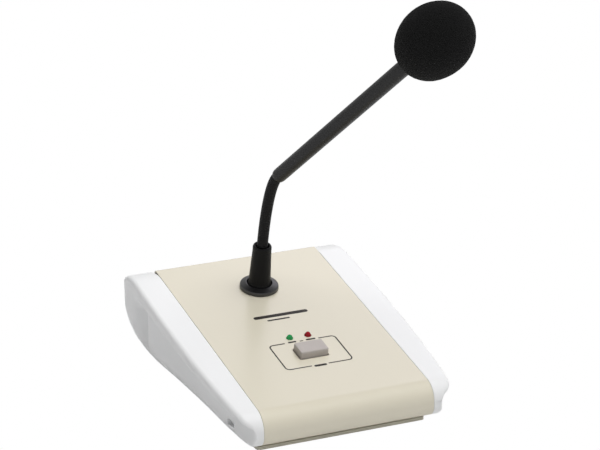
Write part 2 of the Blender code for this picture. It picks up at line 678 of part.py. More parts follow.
def link(name, low, high, low_end, high_end, mat, relief=0.0018):
    """One link of the flexible part: a ball below and a cup above, bored for the wires.

    The link's line runs from one joint centre to the next. Its lower shoulder is cut back by
    the relief, so that the outside has room to bend at each joint.
    """
    length = (high - low).length
    profile = []
    if low_end:
        profile.append((FLEX_BORE, -math.sqrt(BALL ** 2 - FLEX_BORE ** 2)))
        for deg in (-36.0, -5.0):
            a = math.radians(deg)
            profile.append((BALL * math.cos(a), BALL * math.sin(a)))
        profile.append((BALL - 0.0001, relief * 0.45))
        profile.append((FLEX_R, relief))
    else:
        profile.append((FLEX_BORE, 0.0))
        profile.append((FLEX_R - 0.0002, 0.0))
        profile.append((FLEX_R, 0.0002))
    if high_end:
        profile.append((FLEX_R, length - 0.0006))
        profile.append((FLEX_R - 0.0002, length - 0.0003))
        for deg in (-6.0, -36.0):
            a = math.radians(deg)
            profile.append((CUP * math.cos(a), length + CUP * math.sin(a)))
        profile.append((FLEX_BORE, length - math.sqrt(CUP ** 2 - FLEX_BORE ** 2)))
    else:
        profile.append((FLEX_R, length - 0.0002))
        profile.append((FLEX_R - 0.0002, length))
        profile.append((FLEX_BORE, length))
    ob = lathe(name, profile, 16, mat, 30.0)
    return place(ob, frame_along(low, high - low), low)


def make_neck():
    """The flexible gooseneck as a chain of ball-and-cup links."""
    mat = material("flex_black", (0.025, 0.025, 0.028), 0.5)
    joints = neck_joints()
    points, up = neck_curve()
    start = points[0]
    end = points[3]
    link("flex_root", start - up * 0.0200, joints[0][0], False, True, mat)
    for k in range(JOINT_GAPS - 1):
        link("flex_link_%d" % (k + 1), joints[k][0], joints[k + 1][0], True, True, mat)
    link("flex_tip", joints[-1][0], joints[-1][0] + AIM * 0.0160, True, False, mat, 0.0032)
    return end


def make_head(end):
    """Rigid tube, ferrule, capsule housing, capsule and the foam windscreen."""
    at = frame_along(end, AIM)
    pivot = neck_joints()[-1][0]
    hole = FLEX_R + GAP
    r = TUBE_R
    ferrule = [(hole, 0.0004), (r - 0.0006, 0.0), (r - 0.0001, 0.0012), (r, 0.0024), (r, 0.0130),
               (hole, 0.0130)]
    black = material("tube_black", (0.03, 0.03, 0.032), 0.3)
    place(lathe("tube_ferrule", ferrule, 24, black, 30.0), at, pivot)
    near = 0.0130 + GAP
    far = TUBE_LEN
    tube = [(r - 0.0009, near), (r, near), (r, far), (r - 0.0009, far)]
    place(lathe("mic_tube", tube, 24, black, 30.0), at, pivot)
    low = far + GAP
    top = HEAD_AT + 0.0020
    spigot = r - 0.0009 - GAP
    shell = [(spigot, low - 0.0060), (spigot, low), (r + 0.0003, low), (r + 0.0003, low + 0.0040),
             (0.0066, low + 0.0080), (0.0070, low + 0.0090), (0.0070, top), (0.0060, top),
             (0.0060, low + 0.0100), (0.0022, low + 0.0100), (0.0022, low - 0.0060)]
    dull = material("housing_black", (0.03, 0.03, 0.03), 0.45)
    place(lathe("capsule_housing", shell, 24, dull, 30.0), at, pivot)
    ring_in = 0.0050
    seat = top - 0.0100
    ring = [(ring_in, seat), (0.0060 - GAP, seat), (0.0060 - GAP, top - 0.0010), (ring_in, top - 0.0010)]
    soft = material("ring_rubber", (0.03, 0.03, 0.03), 0.85)
    place(lathe("capsule_ring", ring, 20, soft), at, pivot)
    cap_r = ring_in - GAP
    capsule = [(0.0, seat + 0.0020), (cap_r, seat + 0.0020), (cap_r, top + 0.0004),
               (cap_r - 0.0004, top + 0.0008), (0.0, top + 0.0008)]
    metal = material("capsule_metal", (0.65, 0.65, 0.66), 0.35, 1.0)
    place(lathe("mic_capsule", capsule, 20, metal), at, pivot)
    foam = []
    steps = 14
    mouth = 0.0072
    for k in range(steps + 1):
        a = math.radians(-90.0 + 180.0 * k / steps)
        rr = FOAM_R * math.cos(a)
        zz = HEAD_AT + FOAM_HALF * math.sin(a)
        if rr < mouth and zz < HEAD_AT:
            continue
        foam.append((rr, zz))
    low_z = foam[0][1]
    tight = r + 0.0006
    foam = [(tight, low_z - 0.0016), (mouth - 0.0004, low_z - 0.0016)] + foam
    foam[-1] = (0.0, HEAD_AT + FOAM_HALF)
    inner_top = top + 0.0030
    foam = [(0.0, inner_top), (0.0060, inner_top), (0.0073, inner_top - 0.0018), (0.0073, low + 0.0085),
            (tight, low + 0.0036)] + foam
    cell = material("foam_black", (0.012, 0.012, 0.012), 0.95)
    place(lathe("foam_windscreen", foam, 28, cell, 40.0), at, pivot)


def make_inlet():
    """Cord inlet in the back wall: a bushing and its nut; the cord itself isn't part of it."""
    at = Matrix.Translation((0.0, gland_y(), GLAND_Z)) @ Matrix.Rotation(-math.pi / 2, 4, "X")
    black = material("gland_black", (0.03, 0.03, 0.03), 0.55)
    body = [(0.0034, -0.0100), (0.0056, -0.0100), (0.0060, -0.0096), (0.0060, GAP), (0.0085, GAP),
            (0.0085, 0.0022), (0.0078, 0.0032), (0.0056, 0.0038), (0.0048, 0.0056), (0.0034, 0.0056)]
    place(lathe("cord_inlet", body, 24, black, 30.0), at)
    nut_top = -SHEET - GAP
    place(hex_nut("inlet_nut", 0.0063, 0.0085, nut_top - 0.0042, nut_top, black), at)


def main():
    clear_scene()
    make_cover()
    make_plate()
    make_cap("left_end_cap", -1)
    make_cap("right_end_cap", 1)
    make_controls()
    make_mount()
    end = make_neck()
    make_head(end)
    make_inlet()


main()
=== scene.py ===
"""The looks of the desktop paging microphone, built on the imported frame.

Metres, +Z up, -Y is the front. Places along the top panel are given as (x, along, height):
x to the right, along from the front bend up the slope, height square to the panel.
"""
import json
import math

import bmesh
import bpy
from mathutils import Matrix, Vector, noise


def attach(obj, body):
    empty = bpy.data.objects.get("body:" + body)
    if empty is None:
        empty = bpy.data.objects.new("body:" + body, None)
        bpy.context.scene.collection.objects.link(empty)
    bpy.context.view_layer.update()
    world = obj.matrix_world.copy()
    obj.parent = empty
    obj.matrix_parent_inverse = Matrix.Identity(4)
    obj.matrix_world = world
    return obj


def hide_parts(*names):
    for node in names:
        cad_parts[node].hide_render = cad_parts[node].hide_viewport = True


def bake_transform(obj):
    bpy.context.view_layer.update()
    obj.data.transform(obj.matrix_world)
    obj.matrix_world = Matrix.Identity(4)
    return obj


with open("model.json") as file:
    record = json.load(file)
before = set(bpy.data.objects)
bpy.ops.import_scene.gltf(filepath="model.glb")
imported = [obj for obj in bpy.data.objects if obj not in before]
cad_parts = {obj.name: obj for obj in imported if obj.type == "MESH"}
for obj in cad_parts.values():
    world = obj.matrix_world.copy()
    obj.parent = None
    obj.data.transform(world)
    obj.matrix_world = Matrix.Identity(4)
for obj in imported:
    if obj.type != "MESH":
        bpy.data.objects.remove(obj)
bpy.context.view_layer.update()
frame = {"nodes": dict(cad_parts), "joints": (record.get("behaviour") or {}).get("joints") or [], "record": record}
NODES = frame["nodes"]

# ---- sizes shared with the CAD ----
SLOPE = math.radians(10.7)
PANEL_LEN = 0.1662
BEND_Y = -0.0160
BEND_Z = 0.0298
COVER_HALF = 0.0545
SHEET = 0.0010
NOSE_R = 0.0120
UNDER_R = 0.0072
COVER_BASE = 0.0085
HEEL_R = 0.0270
LIP = 0.0160
GAP = 0.0003
GLAND_Z = 0.0460
CAP_FACE = COVER_HALF + GAP
BRIM_H = 0.0075
HEEL_Y = 0.1822
HEEL_TOP = 0.0330
HEEL_FALL = 0.0262
HEEL_LOW = 0.0500
HEEL_RISE = 0.0305
SCOOP_L = 0.1285
SCOOP_LEN = 0.0260
KEY_L = 0.0476
KEY_W = 0.0180
KEY_D = 0.0116
KEY_TOP = 0.0045
LED_L = 0.0660
LED_X = 0.0060
LED_R = 0.0015
SHIFT = 0.0003         # the lamps and the key sit this far right of the middle
NECK_L = 0.1264
FLANGE_R = 0.0122
SLEEVE_TOP = 0.0303
FLEX_R = 0.0035
TUBE_R = 0.0047
TUBE_LEN = 0.1320
HEAD_AT = 0.1570
FOAM_R = 0.0215
FOAM_HALF = 0.0260
AIM = Vector((0.327, -0.666, 0.670)).normalized()
RISE = 0.0504
DRIFT = 0.0070

# ---- sizes of the looks ----
COVER_EDGE = 0.00025      # rounding of the cover's cut edges
BACK_R = 0.0028           # rounding of the panel's rear edge
KEY_PLAY_X = 0.0012       # the key's opening is this much wider than the key
KEY_PLAY_Y = 0.0011
KEY_HOLE_R = 0.0013
LAMP_HOLE_R = 0.0022
NECK_HOLE_R = 0.0053
INLET_HOLE_R = 0.0063
CUT_REACH = 0.0040        # cutters reach this far to both sides of the sheet
INK_LIFT = 0.00002        # printed marks lie this far above the paint
INK_THICK = 0.00005
SCOOP_DEEP = 0.0118       # the thumb scoop at its deep front end
POCKET_Y = 0.0160         # the small pocket in the side of each cap
POCKET_Z = -0.0132
POCKET_TALL = 0.0036
POCKET_LONG = 0.0078
POCKET_DEEP = 0.0024
LENS_R = LED_R + 0.0002
LENS_SIDE = 0.0006        # the straight part of a lens above the panel
RIB_PITCH = 0.00125       # ribs of the flexible hose
RIB_DEPTH = 0.00032
HOSE_INSIDE = 0.0150      # length of hose hidden in the sleeve
FLOOR_HALF = 6.0


def panel_matrix(x, along, height=0.0):
    base = Matrix.Translation((0.0, BEND_Y, BEND_Z)) @ Matrix.Rotation(SLOPE, 4, "X")
    return base @ Matrix.Translation((x, along, height))


def frame_along(origin, direction):
    z = direction.normalized()
    x = Vector((1.0, 0.0, 0.0))
    x = (x - z * x.dot(z)).normalized()
    y = z.cross(x)
    return Matrix.Translation(origin) @ Matrix((x, y, z)).transposed().to_4x4()


# ---------------------------------------------------------------- materials

def surface(name, colour, rough, metal=0.0, vary=0.03, vary_scale=40.0, rough_vary=0.05,
            bumps=(), painted_pore_shade=None, **sockets):
    """A procedural finish: uneven colour and gloss, and layers of bump.

    bumps holds (kind, scale, strength, distance); sockets sets other shader sockets.
    painted_pore_shade holds (scale, size, shade_factor): painted shade, the colour darkened towards
    the middle of each Voronoi cell for the shade inside pores.
    """
    mat = bpy.data.materials.new(name)
    mat.use_nodes = True
    tree = mat.node_tree
    shader = tree.nodes["Principled BSDF"]
    where = tree.nodes.new("ShaderNodeTexCoord").outputs["Object"]

    def noise_node(scale, detail=3.0):
        node = tree.nodes.new("ShaderNodeTexNoise")
        node.inputs["Scale"].default_value = scale
        node.inputs["Detail"].default_value = detail
        tree.links.new(where, node.inputs["Vector"])
        return node

    cloud = noise_node(vary_scale)
    mix = tree.nodes.new("ShaderNodeMix")
    mix.data_type = "RGBA"
    mix.inputs["A"].default_value = [c * (1.0 - vary) for c in colour] + [1.0]
    mix.inputs["B"].default_value = [min(c * (1.0 + vary), 1.0) for c in colour] + [1.0]
    tree.links.new(cloud.outputs["Fac"], mix.inputs["Factor"])
    out = mix.outputs["Result"]
    # painted shade: the colour is darkened towards the middle of each Voronoi cell, standing in for the shade
    # inside pores
    if painted_pore_shade:
        scale, size, shade_factor = painted_pore_shade
        cells = tree.nodes.new("ShaderNodeTexVoronoi")
        cells.inputs["Scale"].default_value = scale
        tree.links.new(where, cells.inputs["Vector"])
        ramp = tree.nodes.new("ShaderNodeMapRange")
        ramp.inputs["From Min"].default_value = size * 0.5
        ramp.inputs["From Max"].default_value = size
        tree.links.new(cells.outputs["Distance"], ramp.inputs["Value"])
        spot = tree.nodes.new("ShaderNodeMix")
        spot.data_type = "RGBA"
        spot.inputs["A"].default_value = [c * shade_factor for c in colour] + [1.0]
        tree.links.new(ramp.outputs["Result"], spot.inputs["Factor"])
        tree.links.new(out, spot.inputs["B"])
        out = spot.outputs["Result"]
    tree.links.new(out, shader.inputs["Base Color"])
    shader.inputs["Metallic"].default_value = metal
    gloss = tree.nodes.new("ShaderNodeMapRange")
    gloss.inputs["To Min"].default_value = rough - rough_vary
    gloss.inputs["To Max"].default_value = rough + rough_vary
    tree.links.new(noise_node(vary_scale * 3.0).outputs["Fac"], gloss.inputs["Value"])
    tree.links.new(gloss.outputs["Result"], shader.inputs["Roughness"])
    normal = None
    for kind, scale, strength, distance in bumps:
        if kind == "cells":
            source = tree.nodes.new("ShaderNodeTexVoronoi")
            source.inputs["Scale"].default_value = scale
            tree.links.new(where, source.inputs["Vector"])
            height = source.outputs["Distance"]
        else:
            height = noise_node(scale, 4.0).outputs["Fac"]
        bump = tree.nodes.new("ShaderNodeBump")
        bump.inputs["Strength"].default_value = strength
        bump.inputs["Distance"].default_value = distance
        tree.links.new(height, bump.inputs["Height"])
        if normal is not None:
            tree.links.new(normal, bump.inputs["Normal"])
        normal = bump.outputs["Normal"]
    if normal is not None:
        tree.links.new(normal, shader.inputs["Normal"])
    for socket, value in sockets.items():
        shader.inputs[socket.replace("_", " ")].default_value = value
    return mat


ORANGE_PEEL = ("noise", 900.0, 0.12, 0.00010)
MATS = {
    "cover_paint": surface("satin_cream_paint", (0.695, 0.650, 0.528), 0.28, vary=0.006,
                           vary_scale=25.0, rough_vary=0.012, bumps=(("noise", 900.0, 0.06, 0.00006),),
                           Specular_IOR_Level=0.80),
    "plate_paint": surface("satin_cream_plate", (0.600, 0.575, 0.470), 0.46, vary=0.02,
                           bumps=(ORANGE_PEEL,)),
    "cap_plastic": surface("white_moulded_plastic", (0.835, 0.838, 0.842), 0.30, vary=0.006,
                           vary_scale=30.0, rough_vary=0.03, bumps=(("noise", 1500.0, 0.10, 0.00006),)),
    "key_plastic": surface("grey_key_plastic", (0.470, 0.430, 0.405), 0.42, vary=0.015,
                           bumps=(("noise", 2500.0, 0.20, 0.00008),)),
    "ink": surface("printed_ink", (0.018, 0.015, 0.012), 0.55, vary=0.10, vary_scale=600.0,
                   bumps=(("noise", 3000.0, 0.1, 0.00003),)),
    "foot_rubber": surface("black_rubber", (0.022, 0.022, 0.022), 0.80, vary=0.12, vary_scale=200.0,
                           bumps=(("noise", 1200.0, 0.35, 0.00015),)),
    "screw_steel": surface("plated_steel", (0.52, 0.52, 0.54), 0.30, 1.0, vary=0.06, vary_scale=300.0,
                           bumps=(("noise", 1800.0, 0.15, 0.00005),)),
    "ballast_steel": surface("dark_cast_slab", (0.16, 0.16, 0.165), 0.60, 0.8, vary=0.15, vary_scale=120.0,
                             bumps=(("noise", 500.0, 0.5, 0.0003),)),
    "board_laminate": surface("green_laminate", (0.03, 0.16, 0.07), 0.42, vary=0.08, vary_scale=90.0,
                              bumps=(("noise", 1200.0, 0.2, 0.00005),)),
    "pillar_brass": surface("turned_brass", (0.68, 0.50, 0.21), 0.28, 1.0, vary=0.05, vary_scale=200.0,
                            bumps=(("noise", 1600.0, 0.15, 0.00004),)),
    "stem_plastic": surface("natural_plastic", (0.74, 0.74, 0.71), 0.45, vary=0.02,
                            bumps=(("noise", 1500.0, 0.15, 0.00005),)),
    "switch_plastic": surface("black_switch_plastic", (0.035, 0.035, 0.038), 0.45, vary=0.05,
                              bumps=(("noise", 1800.0, 0.2, 0.00005),)),
    "lens_green": surface("green_lens", (0.020, 0.260, 0.075), 0.12, vary=0.05, vary_scale=300.0,
                          rough_vary=0.02, Specular_IOR_Level=0.35, Emission_Color=(0.02, 0.35, 0.08, 1.0),
                          Emission_Strength=0.12),
    "lens_red": surface("red_lens", (0.300, 0.004, 0.012), 0.12, vary=0.05, vary_scale=300.0,
                        rough_vary=0.02, Specular_IOR_Level=0.35, Emission_Color=(0.5, 0.01, 0.03, 1.0),
                        Emission_Strength=0.03),
    "neck_black": surface("satin_black_paint", (0.0080, 0.0080, 0.0085), 0.34, vary=0.10, vary_scale=120.0,
                          bumps=(("noise", 1400.0, 0.18, 0.00006),), Specular_IOR_Level=0.85),
    "flex_black": surface("matte_black_hose", (0.0100, 0.0100, 0.0105), 0.46, vary=0.15, vary_scale=400.0,
                          bumps=(("noise", 2500.0, 0.25, 0.00005),), Specular_IOR_Level=0.16),
    "tube_black": surface("satin_black_tube", (0.0095, 0.0095, 0.0099), 0.36, vary=0.08, vary_scale=90.0,
                          bumps=(("noise", 1600.0, 0.15, 0.00005),), Specular_IOR_Level=0.36),
    "housing_black": surface("black_housing_plastic", (0.02, 0.02, 0.02), 0.5, vary=0.05,
                             bumps=(("noise", 1600.0, 0.2, 0.00006),)),
    "ring_rubber": surface("soft_black_rubber", (0.02, 0.02, 0.02), 0.85, vary=0.08,
                           bumps=(("noise", 1200.0, 0.3, 0.0001),)),
    "capsule_metal": surface("drawn_aluminium", (0.62, 0.62, 0.63), 0.35, 1.0, vary=0.04,
                             bumps=(("noise", 1800.0, 0.15, 0.00004),)),
    # painted shade: the foam's colour is darkened in the middle of each small cell for the shade inside its pores
    "foam_black": surface("open_cell_foam", (0.0095, 0.0095, 0.0095), 0.95, vary=0.20, vary_scale=500.0,
                          bumps=(("cells", 1500.0, 0.9, 0.0006), ("noise", 3500.0, 0.6, 0.0003)),
                          painted_pore_shade=(1500.0, 0.30, 0.35), Specular_IOR_Level=0.15),
    "gland_black": surface("black_inlet_plastic", (0.022, 0.022, 0.023), 0.50, vary=0.06,
                           bumps=(("noise", 1500.0, 0.25, 0.00008),)),
}
MATS["bezel_plastic"] = MATS["cover_paint"]
SLEEVE_BLACK = surface("matte_black_moulding", (0.0070, 0.0070, 0.0074), 0.42, vary=0.10, vary_scale=120.0,
                       bumps=(("noise", 1400.0, 0.18, 0.00006),), Specular_IOR_Level=0.14)


def wear(ob, slot):
    """Give an object the one material of the record's slot."""
    ob.data.materials.clear()
    ob.data.materials.append(MATS[slot])


# ---------------------------------------------------------------- mesh helpers

def piece(name, verts, faces, slot, body="base", replaces=(), sharp=35.0, slot_name=None):
    mesh = bpy.data.meshes.new(name)
    mesh.from_pydata([tuple(v) for v in verts], [], faces)
    bm = bmesh.new()
    bm.from_mesh(mesh)
    bmesh.ops.recalc_face_normals(bm, faces=bm.faces)
    bm.to_mesh(mesh)
    bm.free()
    mesh.materials.append(MATS[slot])
    mesh.shade_smooth()
    if sharp:
        mesh.set_sharp_from_angle(angle=math.radians(sharp))
    ob = bpy.data.objects.new(name, mesh)
    bpy.context.scene.collection.objects.link(ob)
    if body:
        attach(ob, body)
    if replaces:
        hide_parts(*replaces)
    return ob


def loft(rings, closed=True):
    """Vertices and faces that join rings of points; the ends are filled."""
    count = len(rings[0])
    verts = [p for ring in rings for p in ring]
    faces = []
    for i in range(len(rings) - 1):
        for k in range(count):
            m = (k + 1) % count
            faces.append((i * count + k, i * count + m, (i + 1) * count + m, (i + 1) * count + k))
    if closed:
        faces.append(tuple(reversed(range(count))))
        faces.append(tuple(range((len(rings) - 1) * count, len(rings) * count)))
    return verts, faces


def lathe(profile, sides, matrix):
    """Turn (radius, height) points about Z; a profile that starts and ends on the axis is closed there."""
    on_axis = profile[0][0] < 1e-9 and profile[-1][0] < 1e-9
    rows = profile[1:-1] if on_axis else profile
    verts = []
    for r, z in rows:
        for k in range(sides):
            a = 2.0 * math.pi * k / sides
            verts.append(Vector((r * math.cos(a), r * math.sin(a), z)))
    faces = []
    count = len(rows)
    for i in range(count - 1 if on_axis else count):
        j = (i + 1) % count
        for k in range(sides):
            m = (k + 1) % sides
            faces.append((i * sides + k, j * sides + k, j * sides + m, i * sides + m))
    if on_axis:
        first = len(verts)
        verts.append(Vector((0.0, 0.0, profile[0][1])))
        verts.append(Vector((0.0, 0.0, profile[-1][1])))
        for k in range(sides):
            m = (k + 1) % sides
            faces.append((first, k, m))
            faces.append((first + 1, (count - 1) * sides + m, (count - 1) * sides + k))
    return [matrix @ v for v in verts], faces


def rounded(profile, radius=0.0003, steps=3):
    """The same profile with each corner replaced by a small arc."""
    out = []
    count = len(profile)
    for i in range(count):
        p = Vector(profile[i])
        if p.x < 1e-9:
            out.append((p.x, p.y))
            continue
        a = Vector(profile[i - 1])
        b = Vector(profile[(i + 1) % count])
        da = a - p
        db = b - p
        cut = min(radius, 0.4 * da.length, 0.4 * db.length)
        start = p + da.normalized() * cut
        end = p + db.normalized() * cut
        for k in range(steps + 1):
            t = k / steps
            q = start * (1 - t) ** 2 + p * (2 * t * (1 - t)) + end * t ** 2
            out.append((q.x, q.y))
    return out


def rounded_rect(w, d, r, z, corner=6):
    ring = []
    for cx, cy, start in ((1, 1, 0), (-1, 1, 90), (-1, -1, 180), (1, -1, 270)):
        for k in range(corner + 1):
            a = math.radians(start + 90.0 * k / corner)
            ring.append(Vector((cx * (w / 2 - r) + r * math.cos(a), cy * (d / 2 - r) + r * math.sin(a), z)))
    return ring


def cut_with(ob, verts, faces):
    """Take a closed shape out of a piece for good."""
    mesh = bpy.data.meshes.new("cutter")
    mesh.from_pydata([tuple(v) for v in verts], [], faces)
    bm = bmesh.new()
    bm.from_mesh(mesh)
    bmesh.ops.recalc_face_normals(bm, faces=bm.faces)
    bm.to_mesh(mesh)
    bm.free()
    tool = bpy.data.objects.new("cutter", mesh)
    bpy.context.scene.collection.objects.link(tool)
    mod = ob.modifiers.new("cut", "BOOLEAN")
    mod.operation = "DIFFERENCE"
    mod.solver = "EXACT"
    mod.object = tool
    graph = bpy.context.evaluated_depsgraph_get()
    done = bpy.data.meshes.new_from_object(ob.evaluated_get(graph))
    old = ob.data
    ob.modifiers.clear()
    ob.data = done
    done.name = old.name
    bpy.data.meshes.remove(old)
    bpy.data.objects.remove(tool)
    bpy.data.meshes.remove(mesh)


def soften(ob, width, segments=3, angle=35.0):
    """Rounded edges, with shading that keeps the flats flat."""
    bevel = ob.modifiers.new("edges", "BEVEL")
    bevel.width = width
    bevel.segments = segments
    bevel.limit_method = "ANGLE"
    bevel.angle_limit = math.radians(angle)
    bevel.harden_normals = False
    bevel.use_clamp_overlap = True
    flat = ob.modifiers.new("flats", "WEIGHTED_NORMAL")
    flat.keep_sharp = True


def arc(cy, cz, r, a0, a1, steps):
    r = max(r, 0.0003)
    points = []
    for k in range(steps + 1):
        a = math.radians(a0 + (a1 - a0) * k / steps)
        points.append((cy + r * math.cos(a), cz + r * math.sin(a)))
    return points


# ---------------------------------------------------------------- sheet cover

def cover_path(inset):
    slope_deg = math.degrees(SLOPE)
    top_c = (BEND_Y + NOSE_R * math.sin(SLOPE), BEND_Z - NOSE_R * math.cos(SLOPE))
    low_c = (top_c[0] - NOSE_R + UNDER_R, COVER_BASE + UNDER_R)
    back_y = BEND_Y + PANEL_LEN * math.cos(SLOPE)
    back_z = BEND_Z + PANEL_LEN * math.sin(SLOPE)
    up_c = (back_y - BACK_R, back_z - BACK_R * math.tan(SLOPE) - BACK_R / math.cos(SLOPE))
    foot_c = (back_y - HEEL_R, COVER_BASE + HEEL_R)
    path = [(low_c[0] + LIP + 0.004, COVER_BASE + inset)]
    path += arc(low_c[0], low_c[1], UNDER_R - inset, 270.0, 180.0, 16)
    path += arc(top_c[0], top_c[1], NOSE_R - inset, 180.0, 90.0 + slope_deg, 20)
    path += arc(up_c[0], up_c[1], BACK_R - inset, 90.0 + slope_deg, 0.0, 10)
    path += arc(foot_c[0], foot_c[1], HEEL_R - inset, 0.0, -90.0, 20)
    path.append((back_y - HEEL_R - LIP, COVER_BASE + inset))
    return path


def drill(radius, sides, at):
    """A round cutter that goes through the sheet."""
    return lathe([(0, -CUT_REACH), (radius, -CUT_REACH), (radius, CUT_REACH), (0, CUT_REACH)], sides, at)


def make_cover():
    loop = cover_path(0.0) + list(reversed(cover_path(SHEET)))
    half = COVER_HALF + GAP * 0.6
    rings = []
    for x in (-half, half):
        rings.append([Vector((x, y, z)) for y, z in loop])
    verts, faces = loft(rings)
    cover = piece("cover_shell", verts, faces, "cover_paint", replaces=("cover_panel",), sharp=30.0)
    holes = []
    at = panel_matrix(SHIFT, KEY_L)
    ring = [rounded_rect(KEY_W + KEY_PLAY_X, KEY_D + KEY_PLAY_Y, KEY_HOLE_R, z)
            for z in (-CUT_REACH, CUT_REACH)]
    holes.append(loft([[at @ p for p in r] for r in ring]))
    for x in (SHIFT - LED_X, SHIFT + LED_X):
        holes.append(drill(LAMP_HOLE_R, 40, panel_matrix(x, LED_L - SHIFT)))
    holes.append(drill(NECK_HOLE_R, 48, panel_matrix(0.0, NECK_L)))
    gland = Matrix.Translation((0.0, BEND_Y + PANEL_LEN * math.cos(SLOPE), GLAND_Z))
    gland = gland @ Matrix.Rotation(math.pi / 2, 4, "X")
    holes.append(drill(INLET_HOLE_R, 48, gland))
    for hole_verts, hole_faces in holes:
        cut_with(cover, hole_verts, hole_faces)
    cover.data.shade_smooth()
    cover.data.set_sharp_from_angle(angle=math.radians(30.0))
    soften(cover, COVER_EDGE, 2, 40.0)


# ---------------------------------------------------------------- printed marks

def print_strip(name, points, width):
    """A thin printed line along points given as (x, along), with square ends."""
    left = []
    right = []
    for i, p in enumerate(points):
        a = Vector(points[max(i - 1, 0)])
        b = Vector(points[min(i + 1, len(points) - 1)])
        heading = (b - a).normalized()
        side = Vector((-heading.y, heading.x)) * (width / 2)
        left.append(Vector(p) + side)
        right.append(Vector(p) - side)
    rings = []
    for l, r in zip(left, right):
        ring = []
        for q, h in ((l, INK_LIFT), (l, INK_LIFT + INK_THICK), (r, INK_LIFT + INK_THICK), (r, INK_LIFT)):
            ring.append(panel_matrix(q.x, q.y, h).translation)
        rings.append(ring)
    verts, faces = loft(rings)
    piece(name, verts, faces, "ink", sharp=30.0)


def print_pill(name, x0, x1, along, height):
    """A plain printed bar with round ends."""
    r = height / 2
    at = panel_matrix((x0 + x1) / 2, along)
    rings = []
    for z in (INK_LIFT, INK_LIFT + INK_THICK):
        rings.append([at @ p for p in rounded_rect(x1 - x0, height, r * 0.98, z, 8)])
    verts, faces = loft(rings)
    piece(name, verts, faces, "ink", sharp=30.0)


def make_prints():
    low = 0.0331
    high = 0.0607
    half = 0.0216
    r = 0.0026
    line = 0.00085
    right = [(0.0111, high), (half - r, high)]
    for k in range(1, 9):
        a = math.radians(90.0 - 90.0 * k / 8)
        right.append((half - r + r * math.cos(a), high - r + r * math.sin(a)))
    for k in range(0, 9):
        a = math.radians(-90.0 * k / 8)
        right.append((half - r + r * math.cos(a), low + r + r * math.sin(a)))
    right.append((0.0055, low))
    print_strip("print_frame_right", right, line)
    left = [(-x, y) for x, y in right]
    print_strip("print_frame_left", left, line)
    print_strip("print_dash", [(-0.0012, high), (0.0010, high)], line)
    print_pill("print_label_green", -0.0088, -0.0034, high + 0.0003, 0.0014)
    print_pill("print_label_red", 0.0030, 0.0093, high + 0.0003, 0.0014)
    print_pill("print_label_key", -0.0041, 0.0041, low - 0.0006, 0.0019)
    print_pill("print_bar_wide", -0.0180, 0.0180, 0.0924, 0.0030)
    print_pill("print_bar_thin", -0.0108, 0.0041, 0.0878, 0.0014)


# ---------------------------------------------------------------- end caps

BRIM = ((-0.0098, 0.0596), (-0.0094, 0.0605), (-0.0085, 0.0618), (-0.0076, 0.0638), (-0.0064, 0.0656),
        (-0.0045, 0.0671), (-0.0020, 0.0680), (0.0030, 0.0687), (0.0160, 0.0700), (0.0440, 0.0719),
        (0.0720, 0.0730), (0.1000, 0.0734), (0.1300, 0.0733), (0.1500, 0.0730), (0.1590, 0.0728),
        (0.1650, 0.0726), (0.1700, 0.0721), (0.1748, 0.0708), (0.1784, 0.0684), (0.1806, 0.0653),
        (0.1819, 0.0620), (0.1822, 0.0592))
WALL = ((-0.0098, 0.0592), (-0.0090, 0.0602), (-0.0070, 0.0612), (0.0000, 0.0626), (0.0160, 0.0649),
        (0.0400, 0.0679), (0.0720, 0.0703), (0.1000, 0.0718), (0.1250, 0.0725), (0.1450, 0.0727))
HULL = ((-0.0100, 0.0030), (0.0000, 0.0035), (0.0160, 0.0062), (0.0400, 0.0120), (0.0720, 0.0180),
        (0.1000, 0.0200), (0.1250, 0.0185), (0.1822, 0.0170))


def read_smooth(table, value):
    """Smooth reading of a table of (place, value) pairs, without overshoot."""
    if value <= table[0][0]:
        return table[0][1]
    if value >= table[-1][0]:
        return table[-1][1]
    slopes = [(b[1] - a[1]) / (b[0] - a[0]) for a, b in zip(table, table[1:])]

    def tangent(i):
        if i == 0:
            return slopes[0]
        if i == len(table) - 1:
            return slopes[-1]
        a, b = slopes[i - 1], slopes[i]
        return 0.0 if a * b <= 0.0 else 2.0 * a * b / (a + b)

    for i in range(len(table) - 1):
        if value <= table[i + 1][0]:
            h = table[i + 1][0] - table[i][0]
            t = (value - table[i][0]) / h
            return ((2 * t ** 3 - 3 * t ** 2 + 1) * table[i][1] + (t ** 3 - 2 * t ** 2 + t) * h * tangent(i)
                    + (3 * t ** 2 - 2 * t ** 3) * table[i + 1][1] + (t ** 3 - t ** 2) * h * tangent(i + 1))


def cap_top(y):
    cy = NOSE_R * math.sin(SLOPE)
    cz = BEND_Z - NOSE_R * math.cos(SLOPE)
    if y < 0.0:
        return cz + math.sqrt(max(NOSE_R ** 2 - (y - cy) ** 2, 0.0))
    line = BEND_Z + y * math.tan(SLOPE)
    start = HEEL_Y - HEEL_TOP
    if y <= start:
        return line
    t = (y - start) / (HEEL_Y - start)
    return line - HEEL_FALL * (1.0 - math.sqrt(max(1.0 - t * t, 0.0)))


def cap_bottom(y):
    cy = NOSE_R * math.sin(SLOPE) - NOSE_R + UNDER_R
    cz = COVER_BASE + UNDER_R
    if y < cy:
        return cz - math.sqrt(max(UNDER_R ** 2 - (y - cy) ** 2, 0.0))
    start = HEEL_Y - HEEL_LOW
    if y <= start:
        return COVER_BASE
    t = (y - start) / (HEEL_Y - start)
    return COVER_BASE + HEEL_RISE * (1.0 - math.sqrt(max(1.0 - t * t, 0.0)))


def smooth(t):
    t = min(max(t, 0.0), 1.0)
    return t * t * (3.0 - 2.0 * t)


